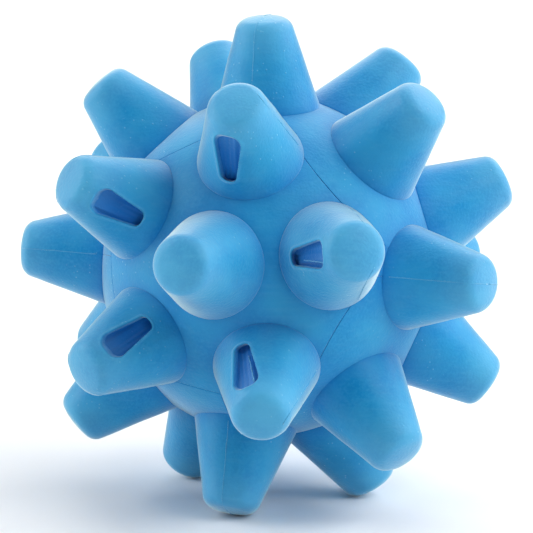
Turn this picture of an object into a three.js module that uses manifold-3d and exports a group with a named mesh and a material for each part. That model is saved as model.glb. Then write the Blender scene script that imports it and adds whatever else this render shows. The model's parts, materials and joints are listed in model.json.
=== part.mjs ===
// Massage ball: a firm rubber ball with 28 blunt nubs, lying on three of its nub ends.
// Millimetres, +Z up. The origin is on the surface that the ball lies on, under the middle of its box.
//
// The nubs stand in rings about one axis, the pole axis: a nub on each pole, an inner ring of five and an
// outer ring of eight round each pole. The skin is a cap at each pole, with a five-sided edge, and four side
// panels between the caps. Inside is a solid core.
import * as THREE from 'three';
import { mergeVertices } from 'three/addons/utils/BufferGeometryUtils.js';
import Module from 'manifold-3d';

const wasm = await Module();
wasm.setup();

// Ball: overall size across two opposite nub ends, and the layers under the nubs.
const TIP_TO_TIP = 127;
const BALL_RADIUS = 42.7;
const SKIN_THICKNESS = 7;
const GAP = 0.3;

// Nub: a cone frustum whose end is a small flat, a shallow crown and a round edge.
const NUB_HEIGHT = TIP_TO_TIP / 2 - BALL_RADIUS;
const NUB_ROOT = 7;
const NUB_TAPER = THREE.MathUtils.degToRad(16.2);
const CORNER_RADIUS = 6.3;
const END_FILLET = 3.5;
const CROWN_RADIUS = 21;
const END_FLAT_RADIUS = 2.4;

// Rings: angle from the front pole to the nubs' ends, azimuth of the first nub and number of evenly spaced
// nubs. A ring nub's foot stands nearer the equator than its end, by this many degrees.
const FOOT_SHIFT = 1.2;
const INNER_ANGLE = 38;
const OUTER_ANGLE = 74;
const RINGS = [
  { name: 'pole_nub_front', polar: 0, start: 0, count: 1 },
  { name: 'inner_nub_front', polar: INNER_ANGLE, start: 0, count: 5, pocketed: true },
  { name: 'outer_nub_front', polar: OUTER_ANGLE, start: 36, count: 8 },
  { name: 'outer_nub_back', polar: 180 - OUTER_ANGLE, count: 8, paired: true },
  { name: 'inner_nub_back', polar: 180 - INNER_ANGLE, start: 0, count: 5, pocketed: true },
  { name: 'pole_nub_back', polar: 180, start: 0, count: 1 },
];

// The back outer ring stands in pairs, one pair on each side panel: how many degrees each nub's foot and its
// end are from the panel's middle.
const PAIR_FOOT = 22;
const PAIR_END = 19.3;

// Pocket: a tapered recess in the side that faces the pole, narrow near the ball and wide near the nub's end.
const POCKET_START = 4.2;
const POCKET_LENGTH = 13.2;
const POCKET_NARROW = 4.3;
const POCKET_WIDE = 6.8;
const POCKET_DEPTH = 2.3;
const POCKET_CORNER = 1.3;
const POCKET_CUT_CLEARANCE = 4;

// Skin panels: the caps have five flat sides parallel to the pole axis, with a corner under each inner nub.
const CAP_SIDES = 5;
const CAP_APOTHEM = 30.8;
const PANEL_COUNT = 4;
const PANEL_MIDDLE = 36;

// A length that reaches out of the ball, for the blocks that cut the skin.
const OUTSIDE = BALL_RADIUS * 2;

// Rest: the nubs that the ball lies on, and how far the front pole is turned from -Y towards -X.
const STANDING_NUBS = ['outer_nub_front_6', 'outer_nub_back_5', 'outer_nub_back_6'];
const POLE_TURN = 19.5;
const SETTLING_STEPS = 20;

// Facets round a full turn.
const NUB_SEGMENTS = 18;
const BALL_SEGMENTS = 32;
const CORE_SEGMENTS = 20;

const rubber = { roughness: 0.5, metalness: 0 };
const MATERIALS = {
  nub: { color: 0x4092c6, ...rubber },
  skin: { color: 0x58a4d2, ...rubber },
  core: { color: 0x2a62a0, roughness: 0.8, metalness: 0 },
};

const Z_AXIS = new THREE.Vector3(0, 0, 1);

/** A unit vector at an angle from the front pole (+Z) and an azimuth round it, in degrees. */
function direction(polar, azimuth) {
  const phi = THREE.MathUtils.degToRad(polar);
  const theta = THREE.MathUtils.degToRad(azimuth);
  return new THREE.Vector3(Math.sin(phi) * Math.cos(theta), Math.sin(phi) * Math.sin(theta), Math.cos(phi));
}

/** A closed geometry as a solid that can be cut and joined. */
function toSolid(geometry) {
  const bare = geometry.clone();
  bare.deleteAttribute('normal');
  bare.deleteAttribute('uv');
  const merged = mergeVertices(bare);
  const index = Array.from(merged.index.array);
  const corners = [];
  for (let i = 0; i < index.length; i += 3) {
    const [a, b, c] = index.slice(i, i + 3);
    if (a !== b && b !== c && c !== a) corners.push(a, b, c);
  }
  const mesh = new wasm.Mesh({
    numProp: 3,
    vertProperties: new Float32Array(merged.attributes.position.array),
    triVerts: new Uint32Array(corners),
  });
  return new wasm.Manifold(mesh);
}

/** A solid back as a geometry with flat-shaded normals. */
function toGeometry(solid) {
  const mesh = solid.getMesh();
  const geometry = new THREE.BufferGeometry();
  geometry.setAttribute('position', new THREE.BufferAttribute(new Float32Array(mesh.vertProperties), 3));
  geometry.setIndex(Array.from(mesh.triVerts));
  geometry.computeVertexNormals();
  return geometry;
}

function namedMesh(name, geometry, look) {
  const mesh = new THREE.Mesh(geometry, new THREE.MeshStandardMaterial(MATERIALS[look]));
  mesh.name = name;
  return mesh;
}

/** A ball with its poles on Z. */
function ball(radius, segments) {
  return new THREE.SphereGeometry(radius, segments, segments / 2).rotateX(Math.PI / 2);
}

/** Points on an arc, as [radius, height] pairs, between two angles measured from the outward direction. */
function arc(centre, radius, from, to, steps) {
  const points = [];
  for (let i = 0; i <= steps; i += 1) {
    const angle = from + ((to - from) * i) / steps;
    points.push(new THREE.Vector2(centre.x + radius * Math.cos(angle), centre.y + radius * Math.sin(angle)));
  }
  return points;
}

/** The nub's outline from its root's middle to its end's middle, with height 0 at the ball's surface. */
function nubOutline() {
  const slope = Math.tan(NUB_TAPER);
  const crownCentre = new THREE.Vector2(0, NUB_HEIGHT - Math.sqrt(CROWN_RADIUS ** 2 - END_FLAT_RADIUS ** 2));
  // The fillet touches the side line from inside and the crown from inside.
  const reach = CORNER_RADIUS - END_FILLET / Math.cos(NUB_TAPER);
  const crownDrop = NUB_HEIGHT - crownCentre.y;
  const a = 1 + slope ** 2;
  const b = 2 * (crownDrop - reach * slope);
  const c = reach ** 2 + crownDrop ** 2 - (CROWN_RADIUS - END_FILLET) ** 2;
  const drop = (-b + Math.sqrt(b ** 2 - 4 * a * c)) / (2 * a);
  const filletCentre = new THREE.Vector2(reach - slope * drop, NUB_HEIGHT + drop);
  const crownAngle = filletCentre.clone().sub(crownCentre).angle();
  const flatAngle = Math.acos(END_FLAT_RADIUS / CROWN_RADIUS);
  return [
    new THREE.Vector2(0, -NUB_ROOT),
    new THREE.Vector2(CORNER_RADIUS + (NUB_HEIGHT + NUB_ROOT) * slope, -NUB_ROOT),
    ...arc(filletCentre, END_FILLET, NUB_TAPER, crownAngle, 2),
    ...arc(crownCentre, CROWN_RADIUS, crownAngle, flatAngle, 1).slice(1),
    new THREE.Vector2(0, NUB_HEIGHT),
  ];
}

/** The pocket's outline in the plane of the nub's side: x runs across, y towards the nub's end. */
function pocketShape() {
  const narrow = POCKET_NARROW / 2;
  const wide = POCKET_WIDE / 2;
  const top = POCKET_START + POCKET_LENGTH;
  const shape = new THREE.Shape();
  shape.moveTo(0, POCKET_START);
  shape.quadraticCurveTo(narrow, POCKET_START, narrow, POCKET_START + POCKET_CORNER);
  shape.lineTo(wide, top - POCKET_CORNER);
  shape.quadraticCurveTo(wide, top, wide - POCKET_CORNER, top);
  shape.lineTo(-wide + POCKET_CORNER, top);
  shape.quadraticCurveTo(-wide, top, -wide, top - POCKET_CORNER);
  shape.lineTo(-narrow, POCKET_START + POCKET_CORNER);
  shape.quadraticCurveTo(-narrow, POCKET_START, 0, POCKET_START);
  return shape;
}

/** The block that cuts the pocket, on the nub's +X side, its floor parallel to the side. */
function pocketCutter() {
  const depth = POCKET_DEPTH + POCKET_CUT_CLEARANCE;
  const block = new THREE.ExtrudeGeometry(pocketShape(), { depth, bevelEnabled: false, curveSegments: 3 });
  block.translate(0, 0, -POCKET_DEPTH);
  // The outline's y goes up the side and its extrusion goes out of the side.
  block.applyMatrix4(new THREE.Matrix4().makeBasis(
    new THREE.Vector3(0, 1, 0),
    new THREE.Vector3(-Math.sin(NUB_TAPER), 0, Math.cos(NUB_TAPER)),
    new THREE.Vector3(Math.cos(NUB_TAPER), 0, Math.sin(NUB_TAPER)),
  ));
  const foot = CORNER_RADIUS + NUB_HEIGHT * Math.tan(NUB_TAPER);
  return block.translate(foot, 0, 0);
}

/** The azimuths of a ring's feet on the ball and of its nubs' ends. */
function ringAzimuths(ring) {
  const azimuths = [];
  for (let i = 0; i < ring.count; i += 1) {
    const even = ring.start + (360 / ring.count) * i;
    const middle = PANEL_MIDDLE + (360 / PANEL_COUNT) * Math.ceil(i / 2);
    const side = i % 2 === 0 ? 1 : -1;
    azimuths.push(ring.paired
      ? { foot: middle + side * PAIR_FOOT, end: middle + side * PAIR_END }
      : { foot: even, end: even });
  }
  return azimuths;
}

/** Where a nub stands: its foot on the ball and its axes, with local +X towards the nearer pole. */
function nubPlacement(ring, azimuth) {
  const isBack = ring.polar > 90;
  const shift = ring.count === 1 ? 0 : FOOT_SHIFT * (isBack ? -1 : 1);
  const foot = direction(ring.polar + shift, azimuth.foot).multiplyScalar(BALL_RADIUS);
  const end = direction(ring.polar, azimuth.end).multiplyScalar(TIP_TO_TIP / 2);
  const axis = end.sub(foot).normalize();
  const pole = isBack ? Z_AXIS.clone().negate() : Z_AXIS;
  const across = new THREE.Vector3().crossVectors(axis, pole).normalize();
  if (ring.count === 1) across.set(0, 1, 0);
  const towardsPole = new THREE.Vector3().crossVectors(across, axis);
  const placement = new THREE.Matrix4().makeBasis(towardsPole, across, axis);
  return placement.setPosition(foot);
}

const nubBlank = toSolid(new THREE.LatheGeometry(nubOutline(), NUB_SEGMENTS).rotateX(Math.PI / 2));
const pocketedBlank = nubBlank.subtract(toSolid(pocketCutter()));

/** One nub, its foot cut by the ball so that it sits on the skin. */
function makeNub(name, ring, azimuth) {
  const placement = nubPlacement(ring, azimuth);
  const seat = ball(BALL_RADIUS + GAP, BALL_SEGMENTS).applyMatrix4(placement.clone().invert());
  const blank = ring.pocketed ? pocketedBlank : nubBlank;
  const nub = namedMesh(name, toGeometry(blank.subtract(toSolid(seat))), 'nub');
  placement.decompose(nub.position, nub.quaternion, nub.scale);
  return nub;
}

function makeNubs() {
  const nubs = [];
  for (const ring of RINGS) {
    ringAzimuths(ring).forEach((azimuth, i) => {
      const name = ring.count === 1 ? ring.name : `${ring.name}_${i + 1}`;
      nubs.push(makeNub(name, ring, azimuth));
    });
  }
  return nubs;
}

/** A five-sided prism round the pole axis, with a corner at azimuth 0, between two heights. */
function capPrism(apothem, low, high) {
  const corner = apothem / Math.cos(Math.PI / CAP_SIDES);
  const prism = new THREE.CylinderGeometry(corner, corner, high - low, CAP_SIDES);
  return prism.rotateX(Math.PI / 2).rotateZ(Math.PI / 2).translate(0, 0, (low + high) / 2);
}

/** A quarter of the space round the pole axis, its two faces half a gap short of the quarter's. */
function quarterBlock(azimuth) {
  const block = new THREE.BoxGeometry(OUTSIDE, OUTSIDE, OUTSIDE * 2);
  block.translate((OUTSIDE + GAP) / 2, (OUTSIDE + GAP) / 2, 0);
  return block.rotateZ(THREE.MathUtils.degToRad(azimuth - 180 / PANEL_COUNT));
}

/** The skin: a hollow ball parted into two caps and four side panels. */
function makeSkin() {
  const hollow = toSolid(ball(BALL_RADIUS - SKIN_THICKNESS, CORE_SEGMENTS));
  const shell = toSolid(ball(BALL_RADIUS, BALL_SEGMENTS)).subtract(hollow);
  const frontCap = shell.intersect(toSolid(capPrism(CAP_APOTHEM - GAP / 2, 0, OUTSIDE)));
  const backCap = shell.intersect(toSolid(capPrism(CAP_APOTHEM - GAP / 2, -OUTSIDE, 0)));
  const sides = shell.subtract(toSolid(capPrism(CAP_APOTHEM + GAP / 2, -OUTSIDE, OUTSIDE)));
  const panels = [
    namedMesh('skin_cap_front', toGeometry(frontCap), 'skin'),
    namedMesh('skin_cap_back', toGeometry(backCap), 'skin'),
  ];
  for (let i = 0; i < PANEL_COUNT; i += 1) {
    const quarter = toSolid(quarterBlock(PANEL_MIDDLE + (360 / PANEL_COUNT) * i));
    panels.push(namedMesh(`skin_side_${i + 1}`, toGeometry(sides.intersect(quarter)), 'skin'));
  }
  return panels;
}

function makeCore() {
  return namedMesh('core', ball(BALL_RADIUS - SKIN_THICKNESS - GAP, CORE_SEGMENTS), 'core');
}

/** A mesh's point that lies furthest along a direction, in the frame of the mesh's parent. */
function furthestPoint(mesh, along) {
  mesh.updateMatrix();
  const position = mesh.geometry.attributes.position;
  const best = new THREE.Vector3();
  const point = new THREE.Vector3();
  let reach = -Infinity;
  for (let i = 0; i < position.count; i += 1) {
    point.fromBufferAttribute(position, i).applyMatrix4(mesh.matrix);
    if (point.dot(along) > reach) {
      reach = point.dot(along);
      best.copy(point);
    }
  }
  return best;
}

/** The direction that points down when the ball lies on three nubs: square to the plane that they touch. */
function downOnThree(nubs) {
  const down = new THREE.Vector3();
  for (const nub of nubs) down.add(nub.position);
  down.normalize();
  for (let i = 0; i < SETTLING_STEPS; i += 1) {
    const [a, b, c] = nubs.map((nub) => furthestPoint(nub, down));
    const square = new THREE.Vector3().crossVectors(b.sub(a), c.sub(a)).normalize();
    down.copy(square.dot(down) < 0 ? square.negate() : square);
  }
  return down;
}

/** Turns the ball so that it lies on its standing nubs with the front pole at its set turn. */
function layDown(assembly) {
  const standing = STANDING_NUBS.map((name) => assembly.getObjectByName(name));
  const down = downOnThree(standing);
  const tilt = new THREE.Quaternion().setFromUnitVectors(down, Z_AXIS.clone().negate());
  const pole = Z_AXIS.clone().applyQuaternion(tilt);
  const wanted = -Math.PI / 2 - THREE.MathUtils.degToRad(POLE_TURN);
  const spin = new THREE.Quaternion().setFromAxisAngle(Z_AXIS, wanted - Math.atan2(pole.y, pole.x));
  assembly.quaternion.copy(spin.multiply(tilt));
}

/** Moves the object so that its box stands on Z = 0 with its middle over the origin. */
function centreOnFloor(object, assembly) {
  object.updateMatrixWorld(true);
  const box = new THREE.Box3().setFromObject(object, true);
  const middle = box.getCenter(new THREE.Vector3());
  assembly.position.set(-middle.x, -middle.y, -box.min.z);
}

const assembly = new THREE.Group();
assembly.add(...makeNubs(), ...makeSkin(), makeCore());
layDown(assembly);

const massageBall = new THREE.Group();
massageBall.add(assembly);
centreOnFloor(massageBall, assembly);

export default massageBall;
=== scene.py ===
"""A blue rubber massage ball with 28 blunt nubs, on a pale floor in soft studio light.

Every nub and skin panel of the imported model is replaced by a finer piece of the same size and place.
Lengths in the functions are millimetres, and meshes are scaled to metres when they are made. Each nub is
made in its own frame: Z is its axis, X points towards the nearer pole, and its origin is its foot.
"""

import json
import math

import bpy
import numpy as np
from mathutils import Matrix, Vector, noise


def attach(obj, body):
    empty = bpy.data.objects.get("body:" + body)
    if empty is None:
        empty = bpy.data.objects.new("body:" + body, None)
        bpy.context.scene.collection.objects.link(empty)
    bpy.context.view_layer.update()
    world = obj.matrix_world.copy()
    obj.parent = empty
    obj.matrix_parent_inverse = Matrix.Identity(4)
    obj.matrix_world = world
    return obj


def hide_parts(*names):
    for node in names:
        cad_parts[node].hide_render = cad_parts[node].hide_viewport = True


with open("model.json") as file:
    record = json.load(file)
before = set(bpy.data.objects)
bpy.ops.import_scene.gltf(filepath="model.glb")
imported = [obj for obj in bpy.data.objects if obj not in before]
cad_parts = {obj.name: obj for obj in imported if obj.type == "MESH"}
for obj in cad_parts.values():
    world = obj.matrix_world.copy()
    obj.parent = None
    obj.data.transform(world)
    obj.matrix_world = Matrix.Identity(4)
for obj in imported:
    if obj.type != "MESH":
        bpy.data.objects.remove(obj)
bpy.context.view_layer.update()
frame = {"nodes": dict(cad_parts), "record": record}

MM = 0.001

# Ball and nub sizes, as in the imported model.
BALL_RADIUS = 42.7
SKIN_THICKNESS = 7.0
INNER_RADIUS = BALL_RADIUS - SKIN_THICKNESS
DEGREE_ARC = math.radians(1) * BALL_RADIUS
TIP_RADIUS = 63.5
NUB_HEIGHT = TIP_RADIUS - BALL_RADIUS
TAPER = math.radians(16.2)
CORNER_RADIUS = 6.3
END_FILLET = 3.5
CROWN_RADIUS = 21.0
FOOT_RADIUS = CORNER_RADIUS + NUB_HEIGHT * math.tan(TAPER)

# Rings of nubs: angle from the front pole, azimuth of the first nub and number of nubs.
INNER_ANGLE = 38.0
OUTER_ANGLE = 74.0
RINGS = [
    {"name": "pole_nub_front", "polar": 0.0, "start": 0.0, "count": 1},
    {"name": "inner_nub_front", "polar": INNER_ANGLE, "start": 0.0, "count": 5, "pocketed": True},
    {"name": "outer_nub_front", "polar": OUTER_ANGLE, "start": 36.0, "count": 8, "parted": True},
    {"name": "outer_nub_back", "polar": 180 - OUTER_ANGLE, "start": 0.0, "count": 8, "paired": True},
    {"name": "inner_nub_back", "polar": 180 - INNER_ANGLE, "start": 0.0, "count": 5, "pocketed": True},
    {"name": "pole_nub_back", "polar": 180.0, "start": 0.0, "count": 1},
]

# Skin: four side panels between two five-sided caps. The back outer nubs stand in pairs, each round the
# middle of a side panel: the angles of their feet and ends from there. FOOT_SHIFT is the angle by which
# the foot of every ring nub is moved away from its pole. All are in degrees.
PANEL_COUNT = 4
PANEL_MIDDLE = 36.0
PAIR_FOOT = 22.0
PAIR_END = 19.3
FOOT_SHIFT = 1.2
CAP_SIDES = 5
CAP_CORNER = 360 / CAP_SIDES
CAP_APOTHEM = 30.8

# The planes in which the cap's mould met the side moulds where nubs stand: they lean out from this height.
CAP_EDGE_HEIGHT = 25.0
CAP_DRAFT = math.radians(13)

# Foot of a nub: how deep it is let into the skin, the small groove round it, and its rows of points.
SEAT_DEPTH = 0.8
GROOVE_WIDTH = 0.5
GROOVE_DEPTH = 0.1
FOOT_RISES = (-SEAT_DEPTH, -0.25, 0.0, 0.12, 0.25, 0.38, GROOVE_WIDTH, 0.8, 1.3)

# Pocket in the side that faces the pole: its outline on the side, and its depth under it.
POCKET_START = 4.2
POCKET_END = 17.4
POCKET_NARROW = 2.15
POCKET_WIDE = 3.4
POCKET_NARROW_ROUND = 1.8
POCKET_WIDE_ROUND = 2.3
POCKET_DEPTH = 1.9
POCKET_DRAFT = 0.4
LIP_HEIGHT = 0.16
LIP_WIDTH = 0.3

# How the pocket's wall and lip waver: amount and breadth of each.
WALL_SWAY = (0.05, 1.5)
LIP_SWAY = (0.4, 2.5)

# Floor of the pocket: it rises across the pocket between two places, and drops again past a torn edge.
# The places are parts of the pocket's half width.
FLOOR_RISE = 0.8
RISE_FROM, RISE_TO = -0.1, 0.5
DROP_FROM, DROP_TO = 0.6, 0.74
DROP_SHARE = 0.9
FLOOR_WAVE = 0.05
FLOOR_WAVES_PER_MM = 5.2

# Torn edge: how high it stands in a pocket, from 0 to 1, and by its sign on which side of the floor.
# Only an edge higher than the usual one carries a ridge.
DEFAULT_TEAR = 0.5
TEARS = {
    "inner_nub_front_1": 1.0,
    "inner_nub_front_2": 0.4,
    "inner_nub_front_3": -0.4,
    "inner_nub_front_4": 0.3,
    "inner_nub_front_5": -1.0,
}

# The ridge: how far from the pocket's ends it starts and stops, where it starts and stops in parts of the
# half width, and its height. It wavers sideways, and its height changes: (amount, breadth) of each.
RIDGE_INSET = (4.0, 0.8)
RIDGE_PLACE = (0.35, 0.58)
RIDGE_HEIGHT = 0.45
RIDGE_POINTS = 40
RIDGE_SWAY = (0.12, 1.2)
RIDGE_USUAL = 0.7
RIDGE_CHANGE = (1.2, 1.0)
RIDGE_LIMITS = (0.15, 1.3)

# Flash: the thin raised line that the mould left where a parting plane crosses a nub. Half its width, its
# height, and its section in parts of both.
FLASH_WIDTH = 0.13
FLASH_HEIGHT = 0.13
FLASH_STEP = 0.6
FLASH_SECTION = [(-1.0, -1.2), (1.0, -1.2), (0.8, 0.2), (0.3, 0.9), (0.0, 1.0), (-0.3, 0.9), (-0.8, 0.2)]

# Flash wavers sideways, and its height changes along it, slowly and quickly: (amount, breadth) of each.
# Its usual, least and greatest height are parts of FLASH_HEIGHT.
FLASH_SWAY = (0.25, 4.0)
FLASH_USUAL = 0.75
FLASH_SLOW_CHANGE = (0.9, 3.0)
FLASH_QUICK_CHANGE = (0.5, 0.9)
FLASH_LIMITS = (0.05, 1.6)

# Seams between skin panels: the radius of each panel's edge, and half the gap between two panels.
SEAM_ROUND = 0.2
SEAM_GAP = 0.006

# Swells of the moulded surfaces: height and breadth of each. A seed moves the noise by these steps.
NUB_SWELLS = [(0.09, 9.0), (0.03, 3.5)]
SKIN_SWELL = (0.05, 8.0)
SKIN_SEED = 40
SEED_STEPS = (17.3, 5.1, 9.7)

# How far the painted shade of a hollow reaches from a nub's foot, how strong it is there, and how deep a
# seam has to be for its full painted shade.
SHADE_REACH = 2.4
SHADE_STRENGTH = 0.5
SEAM_SHADE_DEPTH = 0.1

# How strongly a highlight is painted on the pocket's lip, the flash and the nub's end, from 0 to 1, and the
# heights above the ball between which the end's painted highlight comes in.
LIP_HIGHLIGHT = 0.25
FLASH_HIGHLIGHT = 0.45
END_HIGHLIGHT = 0.4
END_HIGHLIGHT_FROM, END_HIGHLIGHT_TO = 9, 20

# How finely the nubs are divided: points round them, points in their arcs, and spacing of their rows.
ROUND_POINTS = 96
FILLET_POINTS = 14
CROWN_POINTS = 8
POCKET_CORNER_POINTS = 12
SIDE_START = 1.0
SIDE_STEP = 0.9
# Stretches of rows up a pocketed side, crowded at the pocket's ends: where each starts, and its spacing.
POCKET_STRETCHES = [
    (SIDE_START, 0.7),
    (POCKET_START - 0.8, 0.1),
    (POCKET_START + 2.0, 0.3),
    (POCKET_END - 3.0, 0.09),
]
POCKET_ROWS_END = POCKET_END + 0.6
# Columns of a pocketed nub: over the pocket's floor, across a band on both sides of its wall, and round
# the rest of the nub, where they spread out towards the back.
FLOOR_COLUMNS = 8
WALL_COLUMNS = 18
WALL_BAND = (0.6, 0.7)
MOST_TURN = 0.4
BACK_COLUMNS = 33
BACK_EVEN_SHARE = 0.45
BACK_SPREAD = 1.6
SEAT_SHARES = (0.75, 0.5, 0.25)

# How finely the skin is divided: rows at these distances from a panel's edge, then the caps' even rows
# inside their edge band, their step in azimuth and the rings of their inside, and a side panel's grid.
EDGE_ROWS = [0, 0.02, 0.05, 0.1, 0.15, SEAM_ROUND, 0.5, 1.0]
CAP_EDGE_BAND = 1.6
CAP_STEP = 3.0
CAP_ROWS = 24
INSIDE_SHARES = (1.0, 0.75, 0.5, 0.25)
SIDE_COLUMNS = 60
SIDE_ROWS = 40


# ---------------------------------------------------------------- placement


def unit(vector):
    return vector / np.linalg.norm(vector)


def direction(polar, azimuth):
    """The polar frame's unit vector at an angle from the front pole and an azimuth round it, in degrees."""
    phi, theta = math.radians(polar), math.radians(azimuth)
    return np.array([math.sin(phi) * math.cos(theta), math.sin(phi) * math.sin(theta), math.cos(phi)])


def ball_placement():
    """The ball's centre in the row frame, in millimetres, and the polar frame's axes as matrix columns."""
    mounts = {m["name"]: np.array(m["pos_m"]) / MM for m in frame["record"]["mounts"]}
    front, back = mounts["front_pole_end"], mounts["back_pole_end"]
    centre = (front + back) / 2
    pole = unit(front - back)
    # The first inner nub marks azimuth 0.
    aim = mounts["inner_nub_end"] - centre
    zero = unit(aim - aim.dot(pole) * pole)
    return centre, np.column_stack([zero, np.cross(pole, zero), pole])


CENTRE, AXES = ball_placement()


def to_row_frame(points):
    """Points of the polar frame, in millimetres, as metres in the row frame."""
    return (np.asarray(points) @ AXES.T + CENTRE) * MM


def ring_azimuths(ring):
    """(azimuth of the foot, azimuth of the end) for each nub of a ring."""
    found = []
    for i in range(ring["count"]):
        even = ring["start"] + 360 / ring["count"] * i
        middle = PANEL_MIDDLE + 360 / PANEL_COUNT * math.ceil(i / 2)
        side = 1 if i % 2 == 0 else -1
        if ring.get("paired"):
            found.append((middle + side * PAIR_FOOT, middle + side * PAIR_END))
        else:
            found.append((even, even))
    return found


def nub_placement(ring, foot_azimuth, end_azimuth):
    """The nub's frame in the polar frame, as a 4x4 matrix."""
    side = -1.0 if ring["polar"] > 90 else 1.0
    shift = 0 if ring["count"] == 1 else side * FOOT_SHIFT
    foot = direction(ring["polar"] + shift, foot_azimuth) * BALL_RADIUS
    axis = unit(direction(ring["polar"], end_azimuth) * TIP_RADIUS - foot)
    pole = np.array([0, 0, side])
    across = np.array([0, 1.0, 0]) if ring["count"] == 1 else unit(np.cross(axis, pole))
    placement = np.eye(4)
    placement[:3, :3] = np.column_stack([np.cross(across, axis), across, axis])
    placement[:3, 3] = foot
    return placement


def placed(points, placement):
    return points @ placement[:3, :3].T + placement[:3, 3]


# ---------------------------------------------------------------- meshes


def make_object(name, points, faces, tones, material):
    """A smooth mesh object from points in the polar frame, with its per-point shading values."""
    mesh = bpy.data.meshes.new(name)
    mesh.from_pydata([tuple(p) for p in to_row_frame(points)], [], faces)
    mesh.validate()
    mesh.polygons.foreach_set("use_smooth", [True] * len(mesh.polygons))
    for key, values in tones.items():
        layer = mesh.attributes.new(key, "FLOAT", "POINT")
        layer.data.foreach_set("value", np.asarray(values, np.float32))
    mesh.materials.append(material)
    mesh.update()
    piece = bpy.data.objects.new(name, mesh)
    bpy.context.scene.collection.objects.link(piece)
    return piece


def ring_faces(first, second, count):
    """Quads between two closed rings of points, given the index of each ring's first point."""
    return [
        (first + i, first + (i + 1) % count, second + (i + 1) % count, second + i)
        for i in range(count)
    ]


def joined(pieces):
    """Several (points, faces) pairs as one."""
    points, faces, start = [], [], 0
    for some_points, some_faces in pieces:
        points.append(some_points)
        faces += [tuple(start + i for i in face) for face in some_faces]
        start += len(some_points)
    return np.vstack(points), faces


def ramp(values, low, high):
    """0 below low, 1 above high, and a smooth step between them."""
    share = np.clip((values - low) / (high - low), 0, 1)
    return share * share * (3 - 2 * share)


def wander(points, breadth, seed):
    """Smooth noise from -1 to 1 at each point, with features about `breadth` millimetres across."""
    offset = Vector([seed * step for step in SEED_STEPS])
    return np.array([noise.noise(Vector(p) / breadth + offset) for p in points])


def sway(points, change, seed):
    """The same noise for a change given as (amount, breadth), times its amount."""
    amount, breadth = change
    return amount * wander(points, breadth, seed)


def spaced(low, high, step):
    return list(np.linspace(low, high, max(2, int(round((high - low) / step)) + 1)))


# ---------------------------------------------------------------- pockets


def pocket_outline():
    """The pocket's outline as a convex polygon, anticlockwise: x across the nub, y towards its end."""
    low, high = POCKET_START + POCKET_NARROW_ROUND, POCKET_END - POCKET_WIDE_ROUND
    narrow, wide = POCKET_NARROW - POCKET_NARROW_ROUND, POCKET_WIDE - POCKET_WIDE_ROUND
    # The straight wall touches both round corners, at this angle on each.
    apart = math.hypot(wide - narrow, high - low)
    heading = math.atan2(high - low, wide - narrow)
    touch = heading - math.acos((POCKET_NARROW_ROUND - POCKET_WIDE_ROUND) / apart)
    quarter = math.pi / 2
    corners = [
        (narrow, low, POCKET_NARROW_ROUND, -quarter, touch),
        (wide, high, POCKET_WIDE_ROUND, touch, quarter),
        (-wide, high, POCKET_WIDE_ROUND, quarter, math.pi - touch),
        (-narrow, low, POCKET_NARROW_ROUND, math.pi - touch, 3 * quarter),
    ]
    outline = []
    for x, y, radius, start, stop in corners:
        for angle in np.linspace(start, stop, POCKET_CORNER_POINTS):
            outline.append((x + radius * math.cos(angle), y + radius * math.sin(angle)))
    return np.array(outline)


POCKET_OUTLINE = pocket_outline()
ALONG_SIDE = np.array([-math.sin(TAPER), 0, math.cos(TAPER)])
OUT_OF_SIDE = np.array([math.cos(TAPER), 0, math.sin(TAPER)])
FOOT_EDGE = np.array([FOOT_RADIUS, 0, 0])
# The pocket's walls run along the pole axis, the way its mould was drawn. Its outline is square to them.
DRAW = -np.array([math.sin(math.radians(INNER_ANGLE)), 0, math.cos(math.radians(INNER_ANGLE))])
SQUARE_TO_DRAW = np.cross(DRAW, [0, 1.0, 0])


def inside_pocket(across, along):
    """How far each point lies inside the pocket's outline, and less than 0 outside it."""
    start = POCKET_OUTLINE
    edge = np.roll(start, -1, axis=0) - start
    length = np.linalg.norm(edge, axis=1)
    inward = np.column_stack([-edge[:, 1], edge[:, 0]]) / length[:, None]
    points = np.column_stack([across, along])
    return ((points[:, None, :] - start[None]) * inward[None]).sum(2).min(1)


def pocket_along(points):
    """How far up the side each point lies, seen along the draw of the mould."""
    return (points - FOOT_EDGE) @ SQUARE_TO_DRAW / ALONG_SIDE.dot(SQUARE_TO_DRAW)


def pocket_share(along):
    """How far along the pocket a place is: 0 at its narrow end, 1 at its wide end."""
    return np.clip((along - POCKET_START) / (POCKET_END - POCKET_START), 0, 1)


def pocket_half_width(along):
    """Half the pocket's width at a distance up the side, leaving out its round corners."""
    return POCKET_NARROW + (POCKET_WIDE - POCKET_NARROW) * pocket_share(along)


def corner_drop(distance, radius):
    """How far a round corner has turned in from the wall, at a distance from the outline's end."""
    short = np.clip(radius - distance, 0, radius)
    return radius - np.sqrt(radius**2 - short**2)


def floor_height(across, along, tear):
    """Height of the pocket's floor: low on one side, and rising to a torn edge on the other."""
    place = across * np.sign(tear) / pocket_half_width(along)
    rise = FLOOR_RISE * abs(tear) * ramp(place, RISE_FROM, RISE_TO) * pocket_share(along)
    rise *= 1 - DROP_SHARE * ramp(place, DROP_FROM, DROP_TO)
    return -POCKET_DEPTH + rise + FLOOR_WAVE * np.sin(across * FLOOR_WAVES_PER_MM + tear)


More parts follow.
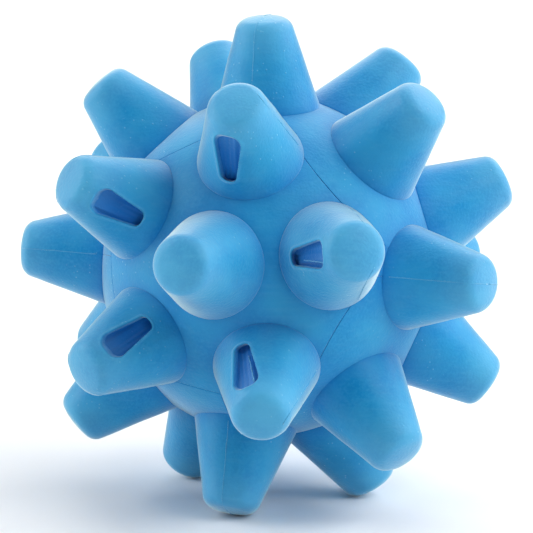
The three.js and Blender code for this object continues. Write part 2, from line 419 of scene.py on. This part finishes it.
def sink_pocket(points, tear, seed):
    """Sinks the side's points to make the pocket. Returns how deep and how far up the lip each one is."""
    # Points on the far side of the nub, and below its foot, count as far outside.
    near = (points[:, 0] > 0) & (points[:, 2] > 0)
    across, along = points[:, 1].copy(), pocket_along(points)
    inside = np.where(near, inside_pocket(across, along), -BALL_RADIUS)
    inside = inside + sway(points, WALL_SWAY, seed)
    depth = ramp(inside, 0, POCKET_DRAFT)
    height = (points - FOOT_EDGE) @ OUT_OF_SIDE
    travel = np.clip((floor_height(across, along, tear) - height) / DRAW.dot(OUT_OF_SIDE), 0, None)
    lip = np.exp(-(((inside + LIP_WIDTH) / LIP_WIDTH) ** 2)) * (1 + sway(points, LIP_SWAY, seed + 2))
    points += DRAW * (depth * travel)[:, None] + OUT_OF_SIDE * (LIP_HEIGHT * lip)[:, None]
    return depth, lip


# ---------------------------------------------------------------- nubs


def end_profile():
    """The nub's end as (radius, height) points: the fillet from the side, then the crown to the middle."""
    # The fillet's centre lies END_FILLET inside the side line, and END_FILLET inside the crown's sphere.
    slope = math.tan(TAPER)
    reach = CORNER_RADIUS - END_FILLET / math.cos(TAPER)
    square = 1 + slope**2
    linear = 2 * (CROWN_RADIUS - reach * slope)
    constant = reach**2 + CROWN_RADIUS**2 - (CROWN_RADIUS - END_FILLET) ** 2
    drop = (-linear + math.sqrt(linear**2 - 4 * square * constant)) / (2 * square)
    fillet = np.array([reach - slope * drop, NUB_HEIGHT + drop])
    crown = np.array([0.0, NUB_HEIGHT - CROWN_RADIUS])
    meet = math.atan2(*(fillet - crown)[::-1])
    turn = np.linspace(TAPER, meet, FILLET_POINTS)
    points = [fillet + END_FILLET * np.array([math.cos(a), math.sin(a)]) for a in turn]
    sweep = np.linspace(meet, math.pi / 2, CROWN_POINTS + 2)[1:-1]
    points += [crown + CROWN_RADIUS * np.array([math.cos(a), math.sin(a)]) for a in sweep]
    return np.array(points)


END_PROFILE = end_profile()
SIDE_LENGTH = (FOOT_RADIUS - END_PROFILE[0][0]) / math.sin(TAPER)


def side_rows(pocketed):
    """Distances up the nub's side at which it has a row of points, above the rows round its foot."""
    if not pocketed:
        return spaced(SIDE_START, SIDE_LENGTH, SIDE_STEP)[:-1]
    rows = []
    ends = [start for start, step in POCKET_STRETCHES[1:]] + [POCKET_ROWS_END]
    for (start, step), end in zip(POCKET_STRETCHES, ends):
        rows += spaced(start, end, step)[:-1]
    return rows


def column_angles(radius, along, pocketed):
    """The angle of every point of one row. On a pocketed nub they crowd along the pocket's walls."""
    if not pocketed:
        return np.linspace(0, 2 * math.pi, ROUND_POINTS, endpoint=False)
    wall = pocket_half_width(along)
    # Away from the middle the side falls back, so the outline crosses it about this much lower down.
    lift = radius - math.sqrt(radius**2 - wall**2)
    turn = corner_drop(POCKET_END - along - lift, POCKET_WIDE_ROUND)
    turn += corner_drop(along + lift - POCKET_START, POCKET_NARROW_ROUND)
    wall -= min(turn, MOST_TURN * wall)
    inside, outside = wall - WALL_BAND[0], wall + WALL_BAND[1]
    floor = np.linspace(0, inside, FLOOR_COLUMNS + 1)[:-1]
    front = np.arcsin(np.concatenate([floor, np.linspace(inside, outside, WALL_COLUMNS)]) / radius)
    rest = np.linspace(0, 1, BACK_COLUMNS + 1)[1:]
    spread = BACK_EVEN_SHARE * rest + (1 - BACK_EVEN_SHARE) * rest**BACK_SPREAD
    half = np.concatenate([front, front[-1] + (math.pi - front[-1]) * spread])
    return np.concatenate([half, 2 * math.pi - half[-2:0:-1]])


def foot_distance(angles, placement, radius):
    """How far down the nub's side line the sphere of that radius lies, at each angle."""
    around = np.column_stack([np.cos(angles), np.sin(angles), np.zeros(len(angles))])
    line = around * -math.sin(TAPER) + np.array([0, 0, math.cos(TAPER)])
    foot = placed(around * FOOT_RADIUS, placement)
    line = line @ placement[:3, :3].T
    b = (foot * line).sum(1)
    return -b + np.sqrt(b**2 - (foot**2).sum(1) + radius**2)


def circle_row(radius, height, angles):
    """One row of the nub's points, at a radius and height that may differ from angle to angle."""
    height = np.broadcast_to(height, np.shape(angles))
    return np.column_stack([radius * np.cos(angles), radius * np.sin(angles), height])


def nub_rows(placement, pocketed):
    """The nub's outside as rows of points, from its seat in the skin to the edge of its end's middle."""
    angles = column_angles(FOOT_RADIUS, 0.0, pocketed)
    surface = foot_distance(angles, placement, BALL_RADIUS)
    rows = []
    for rise in FOOT_RISES:
        along = surface + rise
        inset = GROOVE_DEPTH * np.clip(1 - rise / GROOVE_WIDTH, 0, 1) ** 2
        radius = FOOT_RADIUS - along * math.sin(TAPER) - inset
        rows.append(circle_row(radius, along * math.cos(TAPER), angles))
    for along in side_rows(pocketed):
        radius = FOOT_RADIUS - along * math.sin(TAPER)
        angles = column_angles(radius, along, pocketed)
        rows.append(circle_row(radius, along * math.cos(TAPER), angles))
    for radius, height in END_PROFILE:
        rows.append(circle_row(radius, height, angles))
    return rows


def seat_points(foot, placement):
    """The underside of the nub: the foot's ring drawn in to its middle, just under the ball's surface."""
    rows = [foot * share for share in SEAT_SHARES]
    seat = placed(np.vstack(rows + [np.zeros((1, 3))]), placement)
    return seat * (BALL_RADIUS - SEAT_DEPTH) / np.linalg.norm(seat, axis=1)[:, None]


def nub_faces(row_count, count):
    """Faces over the rows, the end's middle, the rows of the seat and the seat's middle, in that order."""
    faces = []
    for j in range(row_count - 1):
        faces += ring_faces(j * count, (j + 1) * count, count)
    last = (row_count - 1) * count
    end = row_count * count
    faces += [(last + i, last + (i + 1) % count, end) for i in range(count)]
    rings = [end + 1 + 2 * count, end + 1 + count, end + 1, 0]
    for inner, outer in zip(rings, rings[1:]):
        faces += ring_faces(inner, outer, count)
    middle = end + 1 + 3 * count
    faces += [(rings[0] + (i + 1) % count, rings[0] + i, middle) for i in range(count)]
    return faces


def nub_body(placement, pocketed, tear, seed):
    """The nub without its flash, as (polar frame points, faces), and the painted shade and painted
    highlight of each point.
    """
    rows = nub_rows(placement, pocketed)
    points = np.vstack(rows + [np.array([[0, 0, NUB_HEIGHT]])])
    sunk, lip = sink_pocket(points, tear, seed) if pocketed else np.zeros((2, len(points)))
    points = placed(points, placement)
    from_foot = points - placement[:3, 3]
    outward = from_foot / np.linalg.norm(from_foot, axis=1)[:, None]
    swell = sum(sway(points, change, seed + i) for i, change in enumerate(NUB_SWELLS))
    points += outward * swell[:, None]
    rise = np.linalg.norm(points, axis=1) - BALL_RADIUS
    seat = seat_points(rows[0], placement)
    # Painted shade: darker in the pocket and near the foot, where shade falls. Painted highlight: paler on
    # the pocket's lip and towards the nub's end.
    painted_shade = np.maximum(sunk, SHADE_STRENGTH * np.exp(-np.clip(rise, 0, None) / SHADE_REACH))
    painted_highlight = np.maximum(LIP_HIGHLIGHT * lip, END_HIGHLIGHT * ramp(rise, END_HIGHLIGHT_FROM, END_HIGHLIGHT_TO))
    unseen = np.zeros(len(seat))
    body = np.vstack([points, seat]), nub_faces(len(rows), len(rows[0]))
    return body, np.concatenate([painted_shade, unseen]), np.concatenate([painted_highlight, unseen])


# ---------------------------------------------------------------- flash


def bead(path, outward, heights):
    """A thin closed ridge along a path: a rounded strip that stands out of the surface, its foot in it."""
    sideways = np.cross(np.gradient(path, axis=0), outward)
    sideways /= np.linalg.norm(sideways, axis=1)[:, None]
    points = []
    for p, o, s, h in zip(path, outward, sideways, heights):
        points += [p + s * x * FLASH_WIDTH + o * y * h for x, y in FLASH_SECTION]
    count = len(FLASH_SECTION)
    faces = []
    for i in range(len(path) - 1):
        faces += ring_faces((i + 1) * count, i * count, count)
    last = (len(path) - 1) * count
    faces += [tuple(range(count)), tuple(reversed(range(last, last + count)))]
    return np.array(points), faces


def nub_profile():
    """(radius, height, outward radius part, outward height part) down the nub's outline from its end."""
    rows = [(radius, height) for radius, height in END_PROFILE[::-1]]
    for along in np.arange(SIDE_LENGTH - FLASH_STEP, 0, -FLASH_STEP):
        rows.append((FOOT_RADIUS - along * math.sin(TAPER), along * math.cos(TAPER)))
    outline = np.array(rows)
    run = np.gradient(outline, axis=0)
    outward = np.column_stack([-run[:, 1], run[:, 0]])
    outward /= np.linalg.norm(outward, axis=1)[:, None]
    return np.column_stack([outline, outward])


def crossing_line(normal, offset, half, placement):
    """Where a plane crosses the nub, on one side of its axis: the line, and outward directions along it."""
    turned = normal @ placement[:3, :3]
    level = offset - normal @ placement[:3, 3]
    reach = math.hypot(turned[0], turned[1])
    heading = math.atan2(turned[1], turned[0])
    path, outward = [], []
    for radius, height, out_radius, out_height in nub_profile():
        share = (level - turned[2] * height) / (radius * reach)
        if abs(share) > 1:
            continue
        angles = [heading + math.acos(share), heading - math.acos(share)]
        angle = max(angles, key=lambda a: half[0] * math.cos(a) + half[1] * math.sin(a))
        path.append((radius * math.cos(angle), radius * math.sin(angle), height))
        outward.append((out_radius * math.cos(angle), out_radius * math.sin(angle), out_height))
    return np.array(path), np.array(outward)


def flash_along(normal, offset, half, placement, seed):
    """The flash along one such line: it wavers a little, and fades in and out."""
    path, outward = crossing_line(normal, offset, half, placement)
    path = path + np.cross(np.gradient(path, axis=0), outward) * sway(path, FLASH_SWAY, seed)[:, None]
    strength = FLASH_USUAL + sway(path, FLASH_SLOW_CHANGE, seed + 1)
    strength += sway(path, FLASH_QUICK_CHANGE, seed + 2)
    return bead(path, outward, FLASH_HEIGHT * np.clip(strength, *FLASH_LIMITS))


def cap_plane_normal(azimuth, back):
    """The normal of the plane where one side of the cap's mould met its neighbour, widening with height."""
    normal = direction(90 + math.degrees(CAP_DRAFT), azimuth)
    return normal * np.array([1, 1, -1]) if back else normal


def nub_flash(ring, index, azimuth, placement, seed):
    """Every flash on one nub, as (points, faces) pairs in the nub's frame."""
    found = []
    if ring.get("pocketed"):
        # The cap's corner lies over the nub, so the cap's two edges run down its flanks.
        offset = CAP_APOTHEM * math.cos(CAP_DRAFT) - CAP_EDGE_HEIGHT * math.sin(CAP_DRAFT)
        for side in (-1, 1):
            normal = cap_plane_normal(azimuth + side * CAP_CORNER / 2, ring["polar"] > 90)
            half = (0, math.copysign(1, placement[:3, 1] @ normal))
            found.append(flash_along(normal, offset, half, placement, seed + side))
    elif ring.get("parted") and index % 2 == 1:
        # The edge between two side panels runs over the nub, from one side of its foot to the other.
        for side in (-1, 1):
            found.append(flash_along(direction(90, azimuth + 90), 0.0, (side, 0), placement, seed + side))
    return found


def torn_ridge(tear, seed):
    """The thin torn ridge that stands on the high side of a pocket's floor."""
    along = np.linspace(POCKET_START + RIDGE_INSET[0], POCKET_END - RIDGE_INSET[1], RIDGE_POINTS)
    across = np.sign(tear) * np.linspace(*RIDGE_PLACE, RIDGE_POINTS) * pocket_half_width(along)
    level = FOOT_EDGE + ALONG_SIDE * along[:, None] + np.outer(across, [0, 1, 0])
    travel = floor_height(across, along, tear) / DRAW.dot(OUT_OF_SIDE)
    path = level + DRAW * travel[:, None]
    path[:, 1] += sway(path, RIDGE_SWAY, seed)
    strength = np.clip(RIDGE_USUAL + sway(path, RIDGE_CHANGE, seed + 1), *RIDGE_LIMITS)
    return bead(path, np.tile(OUT_OF_SIDE, (RIDGE_POINTS, 1)), RIDGE_HEIGHT * abs(tear) * strength)


def make_nub(name, ring, index, azimuth, aim, seed, material):
    """One nub: seat in the skin, foot groove, tapered side, any pocket, rounded end, and flash."""
    pocketed = ring.get("pocketed", False)
    tear = TEARS.get(name, DEFAULT_TEAR)
    placement = nub_placement(ring, azimuth, aim)
    body, painted_shade, painted_highlight = nub_body(placement, pocketed, tear, seed)
    beads = nub_flash(ring, index, azimuth, placement, seed)
    # How strongly a highlight is painted on each flash and on the torn ridge.
    highlights = [FLASH_HIGHLIGHT] * len(beads)
    if pocketed and abs(tear) > DEFAULT_TEAR:
        beads.append(torn_ridge(tear, seed))
        highlights.append(abs(tear))
    points, faces = joined([body] + [(placed(p, placement), f) for p, f in beads])
    # The body's painted shade and painted highlight; the beads get no painted shade and a painted highlight
    # each.
    tones = {
        "painted_shade": np.concatenate([painted_shade, np.zeros(len(points) - len(painted_shade))]),
        "painted_highlight": np.concatenate([painted_highlight] + [np.full(len(p), w) for (p, f), w in zip(beads, highlights)]),
    }
    piece = make_object(f"rubber_{name}", points, faces, tones, material)
    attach(piece, "root")
    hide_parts(name)


def make_nubs(material):
    seed = 0
    for ring in RINGS:
        for i, (azimuth, aim) in enumerate(ring_azimuths(ring)):
            name = ring["name"] if ring["count"] == 1 else f"{ring['name']}_{i + 1}"
            seed += 1
            make_nub(name, ring, i, azimuth, aim, seed, material)


# ---------------------------------------------------------------- skin


def cap_edge(azimuth):
    """The polar angle, in degrees, at which the five-sided cap ends, at an azimuth."""
    from_middle = (azimuth % CAP_CORNER) - CAP_CORNER / 2
    reach = CAP_APOTHEM / math.cos(math.radians(from_middle))
    return math.degrees(math.asin(reach / BALL_RADIUS))


def rounded_radius(from_edge):
    """The sphere's radius at a distance from the panel's edge, which is rounded over."""
    short = np.clip(SEAM_ROUND - from_edge, 0, SEAM_ROUND)
    return BALL_RADIUS - SEAM_ROUND + np.sqrt(SEAM_ROUND**2 - short**2)


def cap_rows(azimuths):
    """The cap's rings as (distances from its middle, radii), over its outside, its edge and its inside."""
    edge = np.array([cap_edge(a) for a in azimuths]) * DEGREE_ARC - SEAM_GAP
    full = np.ones(len(edge))
    shares = np.linspace(0, 1, CAP_ROWS + 2)[1:-1]
    rows = [(share * (edge - CAP_EDGE_BAND), BALL_RADIUS * full) for share in shares]
    rows += [(edge - d, rounded_radius(d) * full) for d in [CAP_EDGE_BAND] + EDGE_ROWS[::-1]]
    return rows + [(share * edge, INNER_RADIUS * full) for share in INSIDE_SHARES]


def make_cap(name, front, material):
    """A cap of the skin: a five-sided dome with a rounded edge, its inside and the wall between them."""
    azimuths = np.arange(0, 360, CAP_STEP)
    rows = cap_rows(azimuths)
    points = []
    for distances, radii in rows:
        points += [direction(d / DEGREE_ARC, a) * r for a, d, r in zip(azimuths, distances, radii)]
    count, last, middle = len(azimuths), (len(rows) - 1) * len(azimuths), len(points)
    points += [direction(0, 0) * BALL_RADIUS, direction(0, 0) * INNER_RADIUS]
    faces = []
    for j in range(len(rows) - 1):
        faces += ring_faces((j + 1) * count, j * count, count)
    faces += [(middle, i, (i + 1) % count) for i in range(count)]
    faces += [(middle + 1, last + (i + 1) % count, last + i) for i in range(count)]
    points = np.array(points)
    if not front:
        points[:, 2] *= -1
        faces = [f[::-1] for f in faces]
    finish_skin(name, points, faces, material)


def edge_spacing(length, inner):
    """Distances from 0 to length, crowded at both ends where the edge is rounded."""
    middle = list(np.linspace(EDGE_ROWS[-1], length - EDGE_ROWS[-1], inner)[1:-1])
    return np.array(EDGE_ROWS + middle + [length - d for d in EDGE_ROWS[::-1]])


def side_grid(middle):
    """Azimuths across a side panel, and for each the polar angles down it, from one cap to the other."""
    width = 360 / PANEL_COUNT * DEGREE_ARC
    first = middle - 180 / PANEL_COUNT + SEAM_GAP / DEGREE_ARC
    azimuths = first + edge_spacing(width - 2 * SEAM_GAP, SIDE_COLUMNS) / DEGREE_ARC
    corners = [c for c in np.arange(0, 360, CAP_CORNER) if azimuths[0] < c < azimuths[-1]]
    azimuths = np.sort(np.concatenate([azimuths, corners]))
    columns = []
    for azimuth in azimuths:
        top = cap_edge(azimuth)
        span = (180 - 2 * top) * DEGREE_ARC - 2 * SEAM_GAP
        columns.append(top + (SEAM_GAP + edge_spacing(span, SIDE_ROWS)) / DEGREE_ARC)
    return azimuths, columns


def side_points(azimuths, columns):
    """The side panel's outside points, on the ball but rounded over along the panel's edges."""
    points = []
    for azimuth, polars in zip(azimuths, columns):
        across = min(azimuth - azimuths[0], azimuths[-1] - azimuth) * DEGREE_ARC
        beside = across * np.sin(np.radians(polars))
        above = np.minimum(polars - polars[0], polars[-1] - polars) * DEGREE_ARC
        radii = rounded_radius(np.minimum(beside, above))
        points += [direction(polar, azimuth) * radius for polar, radius in zip(polars, radii)]
    return points


def slab_faces(n, m):
    """Faces of a closed slab: an outer grid of n columns of m points, an inner one, and the rim between."""
    faces = []
    inner = n * m
    for i in range(n - 1):
        for j in range(m - 1):
            a, b = i * m + j, (i + 1) * m + j
            faces.append((a, a + 1, b + 1, b))
            faces.append((inner + b, inner + b + 1, inner + a + 1, inner + a))
    rim = [i * m for i in range(n)] + [(n - 1) * m + j for j in range(1, m)]
    rim += [i * m + m - 1 for i in range(n - 2, -1, -1)] + list(range(m - 2, 0, -1))
    return faces + [(a, b, inner + b, inner + a) for a, b in zip(rim, rim[1:] + rim[:1])]


def make_side(name, middle, material):
    """A side panel of the skin, between the two caps and two meridians."""
    azimuths, columns = side_grid(middle)
    outer = side_points(azimuths, columns)
    inner = [unit(p) * INNER_RADIUS for p in outer]
    finish_skin(name, np.array(outer + inner), slab_faces(len(azimuths), len(columns[0])), material)


def foot_centres():
    """Unit vectors from the ball's centre to the middle of every nub's foot, in the polar frame."""
    feet = []
    for ring in RINGS:
        for azimuth, aim in ring_azimuths(ring):
            feet.append(unit(nub_placement(ring, azimuth, aim)[:3, 3]))
    return np.array(feet)


def painted_hollow_shade(points):
    """Painted shade on a point of the skin for lying close to the nubs' feet, where shade falls, from 0 to
    1.
    """
    away = points / np.linalg.norm(points, axis=1)[:, None]
    angle = np.arccos(np.clip(away @ foot_centres().T, -1, 1))
    gap = np.clip(angle * BALL_RADIUS - FOOT_RADIUS, 0, None)
    return np.clip((SHADE_STRENGTH * np.exp(-gap / SHADE_REACH)).sum(1), 0, 1)


def finish_skin(name, points, faces, material):
    """Gives a skin panel its swells and its painted shade, and makes it a piece. Only the outside swells.
    """
    reach = np.linalg.norm(points, axis=1)
    outside = reach > (BALL_RADIUS + INNER_RADIUS) / 2
    swell = np.where(outside, sway(points, SKIN_SWELL, SKIN_SEED), 0)
    # Painted shade in the seams' grooves and near the nubs' feet, where shade falls; the skin gets no
    # painted highlight.
    seam = np.clip((BALL_RADIUS - reach) / SEAM_SHADE_DEPTH, 0, 1)
    tones = {"painted_shade": np.maximum(painted_hollow_shade(points), seam), "painted_highlight": np.zeros(len(points))}
    points = points * (1 + swell / reach)[:, None]
    piece = make_object(f"rubber_{name}", points, faces, tones, material)
    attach(piece, "root")
    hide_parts(name)


def make_skin(material):
    make_cap("skin_cap_front", True, material)
    make_cap("skin_cap_back", False, material)
    for i in range(PANEL_COUNT):
        make_side(f"skin_side_{i + 1}", PANEL_MIDDLE + 360 / PANEL_COUNT * i, material)


# ---------------------------------------------------------------- materials


# Linear colours: the rubber's own two tones, the painted shade in hollows, pockets and seams, and a pale
# tone for streaks and specks that is also the painted highlight on raised edges and nub ends.
RUBBER_TONES = ((0.004, 0.245, 0.54), (0.024, 0.325, 0.60))
PAINTED_SHADE_TONE = (0.0005, 0.12, 0.46)
PALE_MARK_AND_HIGHLIGHT_TONE = (0.22, 0.54, 0.74)
CORE_TONES = ((0.01, 0.09, 0.30), (0.02, 0.12, 0.36))
SHEEN_TONE = (0.9, 1.0, 0.9)
SHEEN_ROUGHNESS = 0.35
SPECULAR_LEVEL = 0.2
GLOSS_RANGE = 0.06

# Noise of the rubber: features per metre, and detail. Specks show only in patches.
CLOUD = (90, 4)
GRAIN = (1600, 2)
PATCHES = (45, 2)
STREAK_SCALES = (90, 900, 900)
STREAK_TURN = (0.4, 0.3, 0.2)
STREAK_DETAIL = 3
SPECK_SCALE = 620
SPECK_SIZE = 0.16

# The part of each noise's range that goes from none of its effect to all of it.
CLOUD_RANGE = (0.35, 0.65)
GRAIN_RANGE = (0.4, 0.7)
PATCH_RANGE = (0.5, 0.62)
STREAK_RANGE = (0.5, 0.8)

# How strongly each feature shows in the colour.
GRAIN_MIX = 0.6
STREAK_MIX = 0.08
SPECK_MIX = 0.45
PAINTED_SHADE_MIX = 0.85
PAINTED_HIGHLIGHT_MIX = 0.55

# Relief of grain, streaks and specks: height in metres, and strength.
GRAIN_RELIEF = (0.0002, 0.4)
STREAK_RELIEF = (0.0003, 0.1)
SPECK_RELIEF = (0.00015, 0.5)


class NodeMaker:
    """Adds shader nodes to a material, and links them."""

    def __init__(self, material):
        material.use_nodes = True
        self.tree = material.node_tree
        self.shader = self.tree.nodes["Principled BSDF"]
        self.place = self.tree.nodes.new("ShaderNodeTexCoord").outputs["Object"]

    def link(self, output, socket):
        self.tree.links.new(output, socket)

    def stretched(self, scale):
        """Object coordinates scaled differently along each axis."""
        mapping = self.tree.nodes.new("ShaderNodeMapping")
        mapping.inputs["Scale"].default_value = scale
        mapping.inputs["Rotation"].default_value = STREAK_TURN
        self.link(self.place, mapping.inputs["Vector"])
        return mapping.outputs["Vector"]

    def noise(self, scale, detail, vector=None):
        node = self.tree.nodes.new("ShaderNodeTexNoise")
        node.inputs["Scale"].default_value = scale
        node.inputs["Detail"].default_value = detail
        self.link(vector or self.place, node.inputs["Vector"])
        return node.outputs["Fac"]

    def bubbles(self, scale, size):
        """Small round specks, 1 in each speck's middle and 0 away from it."""
        node = self.tree.nodes.new("ShaderNodeTexVoronoi")
        node.inputs["Scale"].default_value = scale
        self.link(self.place, node.inputs["Vector"])
        return self.span(node.outputs["Distance"], (size, size / 2))

    def span(self, value, limits, results=(0.0, 1.0)):
        """The value mapped so that the two limits become the two results."""
        node = self.tree.nodes.new("ShaderNodeMapRange")
        node.inputs["From Min"].default_value, node.inputs["From Max"].default_value = limits
        node.inputs["To Min"].default_value, node.inputs["To Max"].default_value = results
        self.link(value, node.inputs["Value"])
        return node.outputs["Result"]

    def times(self, first, second):
        node = self.tree.nodes.new("ShaderNodeMath")
        node.operation = "MULTIPLY"
        for value, socket in zip((first, second), node.inputs):
            if isinstance(value, float):
                socket.default_value = value
            else:
                self.link(value, socket)
        return node.outputs["Value"]

    def point_value(self, name):
        node = self.tree.nodes.new("ShaderNodeAttribute")
        node.attribute_name = name
        return node.outputs["Fac"]

    def blend(self, factor, first, second):
        """A colour between two, each a colour tuple or an output."""
        node = self.tree.nodes.new("ShaderNodeMix")
        node.data_type = "RGBA"
        self.link(factor, node.inputs["Factor"])
        for value, key in ((first, "A"), (second, "B")):
            if isinstance(value, tuple):
                node.inputs[key].default_value = (*value, 1)
            else:
                self.link(value, node.inputs[key])
        return node.outputs["Result"]

    def bump(self, height, relief, under=None):
        """A normal for a height and its (distance, strength), on top of the normal `under`."""
        node = self.tree.nodes.new("ShaderNodeBump")
        node.inputs["Distance"].default_value, node.inputs["Strength"].default_value = relief
        self.link(height, node.inputs["Height"])
        if under:
            self.link(under, node.inputs["Normal"])
        return node.outputs["Normal"]


def rubber_colour(make, tones, cloud, grain, streaks, specks):
    """The rubber's two tones, its grain, streaks and specks, then painted shade in hollows and a painted
    highlight on raised edges and ends.
    """
    colour = make.blend(cloud, tones[0], tones[1])
    colour = make.blend(make.times(make.span(grain, GRAIN_RANGE), GRAIN_MIX), colour, tones[1])
    colour = make.blend(make.times(make.span(streaks, STREAK_RANGE), STREAK_MIX), colour, PALE_MARK_AND_HIGHLIGHT_TONE)
    colour = make.blend(make.times(specks, SPECK_MIX), colour, PALE_MARK_AND_HIGHLIGHT_TONE)
    # Painted shade in the hollows, pockets and seams, then a painted highlight on the lips, flash and nub
    # ends.
    colour = make.blend(make.times(make.point_value("painted_shade"), PAINTED_SHADE_MIX), colour, PAINTED_SHADE_TONE)
    return make.blend(make.times(make.point_value("painted_highlight"), PAINTED_HIGHLIGHT_MIX), colour, PALE_MARK_AND_HIGHLIGHT_TONE)


def rubber(name, tones, roughness, sheen):
    """Moulded rubber: cloudy tone, fine grain, faint streaks, specks, painted shade in hollows and a
    painted highlight on raised edges.
    """
    material = bpy.data.materials.new(name)
    make = NodeMaker(material)
    cloud = make.span(make.noise(*CLOUD), CLOUD_RANGE)
    grain = make.noise(*GRAIN)
    streaks = make.noise(1, STREAK_DETAIL, make.stretched(STREAK_SCALES))
    patches = make.span(make.noise(*PATCHES), PATCH_RANGE)
    specks = make.times(make.bubbles(SPECK_SCALE, SPECK_SIZE), patches)
    make.link(rubber_colour(make, tones, cloud, grain, streaks, specks), make.shader.inputs["Base Color"])
    relief = make.bump(grain, GRAIN_RELIEF)
    relief = make.bump(streaks, STREAK_RELIEF, relief)
    relief = make.bump(specks, SPECK_RELIEF, relief)
    make.link(relief, make.shader.inputs["Normal"])
    gloss = make.span(cloud, (0.0, 1.0), (roughness - GLOSS_RANGE, roughness + GLOSS_RANGE))
    make.link(gloss, make.shader.inputs["Roughness"])
    make.shader.inputs["Specular IOR Level"].default_value = SPECULAR_LEVEL
    make.shader.inputs["Sheen Weight"].default_value = sheen
    make.shader.inputs["Sheen Roughness"].default_value = SHEEN_ROUGHNESS
    make.shader.inputs["Sheen Tint"].default_value = (*SHEEN_TONE, 1)
    return material


# ---------------------------------------------------------------- stage


FLOOR_REACH = 12.0
FLOOR_TONE = (0.9, 0.9, 0.9, 1)
FLOOR_ROUGHNESS = 0.8
WORLD_STRENGTH = 0.03

# Softboxes round the ball: azimuth from the camera's side towards the right, elevation, (width, height)
# and power in watts.
SOFTBOX_DISTANCE = 2.0
SOFTBOXES = [
    ("softbox_top", 0, 80, (1.4, 1.4), 9),
    ("softbox_front_right", 48, 42, (1.0, 1.0), 15),
    ("softbox_right", 90, 28, (1.4, 2.0), 31),
    ("softbox_back_right", 140, 42, (1.4, 1.4), 18),
    ("softbox_back", 190, 42, (1.4, 1.4), 14),
    ("softbox_left", 268, 24, (1.4, 2.0), 36),
]

# Two rings of softboxes round the object shine straight down in narrow beams, to keep the far floor white:
# distance from the middle, height, width and depth, and power in watts.
FLOOR_LIGHTS = [
    ("floor_near", 3.4, 2.4, (7.0, 2.4), 100),
    ("floor_far", 6.6, 3.0, (13.0, 4.4), 200),
]
FLOOR_LIGHT_SPREAD = math.radians(70)

# Camera: distance in millimetres, angles in degrees, lens in millimetres, and shift in parts of the frame.
CAMERA_DISTANCE = 579.4
CAMERA_ELEVATION = 10.10
CAMERA_AZIMUTH = 0.089
CAMERA_ROLL = 0.919
CAMERA_LENS = 154.92
CAMERA_SHIFT = (-0.006893, -0.002156)
SENSOR_WIDTH = 36
CLIP_START, CLIP_END = 0.01, 50


def add_floor():
    mesh = bpy.data.meshes.new("floor")
    r = FLOOR_REACH
    mesh.from_pydata([(-r, -r, 0), (r, -r, 0), (r, r, 0), (-r, r, 0)], [], [(0, 1, 2, 3)])
    floor = bpy.data.objects.new("floor", mesh)
    bpy.context.scene.collection.objects.link(floor)
    material = bpy.data.materials.new("pale_floor")
    material.use_nodes = True
    shader = material.node_tree.nodes["Principled BSDF"]
    shader.inputs["Base Color"].default_value = FLOOR_TONE
    shader.inputs["Roughness"].default_value = FLOOR_ROUGHNESS
    mesh.materials.append(material)


def towards(azimuth, elevation):
    """The direction to a place at an azimuth from the camera's side towards the right, and an elevation."""
    turn, rise = math.radians(azimuth), math.radians(elevation)
    return Vector((math.sin(turn) * math.cos(rise), -math.cos(turn) * math.cos(rise), math.sin(rise)))


def add_softbox(name, place, size, power):
    """A rectangular area light that shines straight down until it is turned."""
    data = bpy.data.lights.new(name, "AREA")
    data.shape = "RECTANGLE"
    data.size, data.size_y = size
    data.energy = power
    lamp = bpy.data.objects.new(name, data)
    lamp.location = place
    lamp.visible_camera = False
    bpy.context.scene.collection.objects.link(lamp)
    return lamp


def add_light():
    world = bpy.data.worlds.new("studio")
    bpy.context.scene.world = world
    world.use_nodes = True
    background = world.node_tree.nodes["Background"]
    background.inputs["Color"].default_value = (1, 1, 1, 1)
    background.inputs["Strength"].default_value = WORLD_STRENGTH
    middle = Vector(CENTRE * MM)
    for name, azimuth, elevation, size, power in SOFTBOXES:
        away = towards(azimuth, elevation)
        lamp = add_softbox(name, middle + away * SOFTBOX_DISTANCE, size, power)
        lamp.rotation_euler = (-away).to_track_quat("-Z", "Y").to_euler()
    for name, distance, height, size, power in FLOOR_LIGHTS:
        for i in range(4):
            turn = math.radians(90 * i)
            place = (distance * math.sin(turn), distance * math.cos(turn), height)
            lamp = add_softbox(f"{name}_{i + 1}", place, size, power)
            lamp.rotation_euler = (0, 0, -turn)
            lamp.data.spread = FLOOR_LIGHT_SPREAD


def add_camera():
    data = bpy.data.cameras.new("camera")
    data.sensor_width = SENSOR_WIDTH
    data.lens = CAMERA_LENS
    data.shift_x, data.shift_y = CAMERA_SHIFT
    data.clip_start, data.clip_end = CLIP_START, CLIP_END
    camera = bpy.data.objects.new("camera", data)
    back = towards(CAMERA_AZIMUTH, CAMERA_ELEVATION)
    camera.location = Vector(CENTRE * MM) + back * CAMERA_DISTANCE * MM
    turn = (-back).to_track_quat("-Z", "Y").to_matrix() @ Matrix.Rotation(math.radians(CAMERA_ROLL), 3, "Z")
    camera.rotation_euler = turn.to_euler()
    bpy.context.scene.collection.objects.link(camera)
    bpy.context.scene.camera = camera


# ---------------------------------------------------------------- scene

bpy.context.scene.view_settings.view_transform = "Standard"
nub_material = rubber("nub_rubber", RUBBER_TONES, roughness=0.46, sheen=1.0)
skin_material = rubber("skin_rubber", RUBBER_TONES, roughness=0.5, sheen=1.0)
core_material = rubber("core_rubber", CORE_TONES, roughness=0.8, sheen=0.1)
make_nubs(nub_material)
make_skin(skin_material)
core = frame["nodes"]["core"]
core.data.materials.clear()
core.data.materials.append(core_material)
add_floor()
add_light()
add_camera()
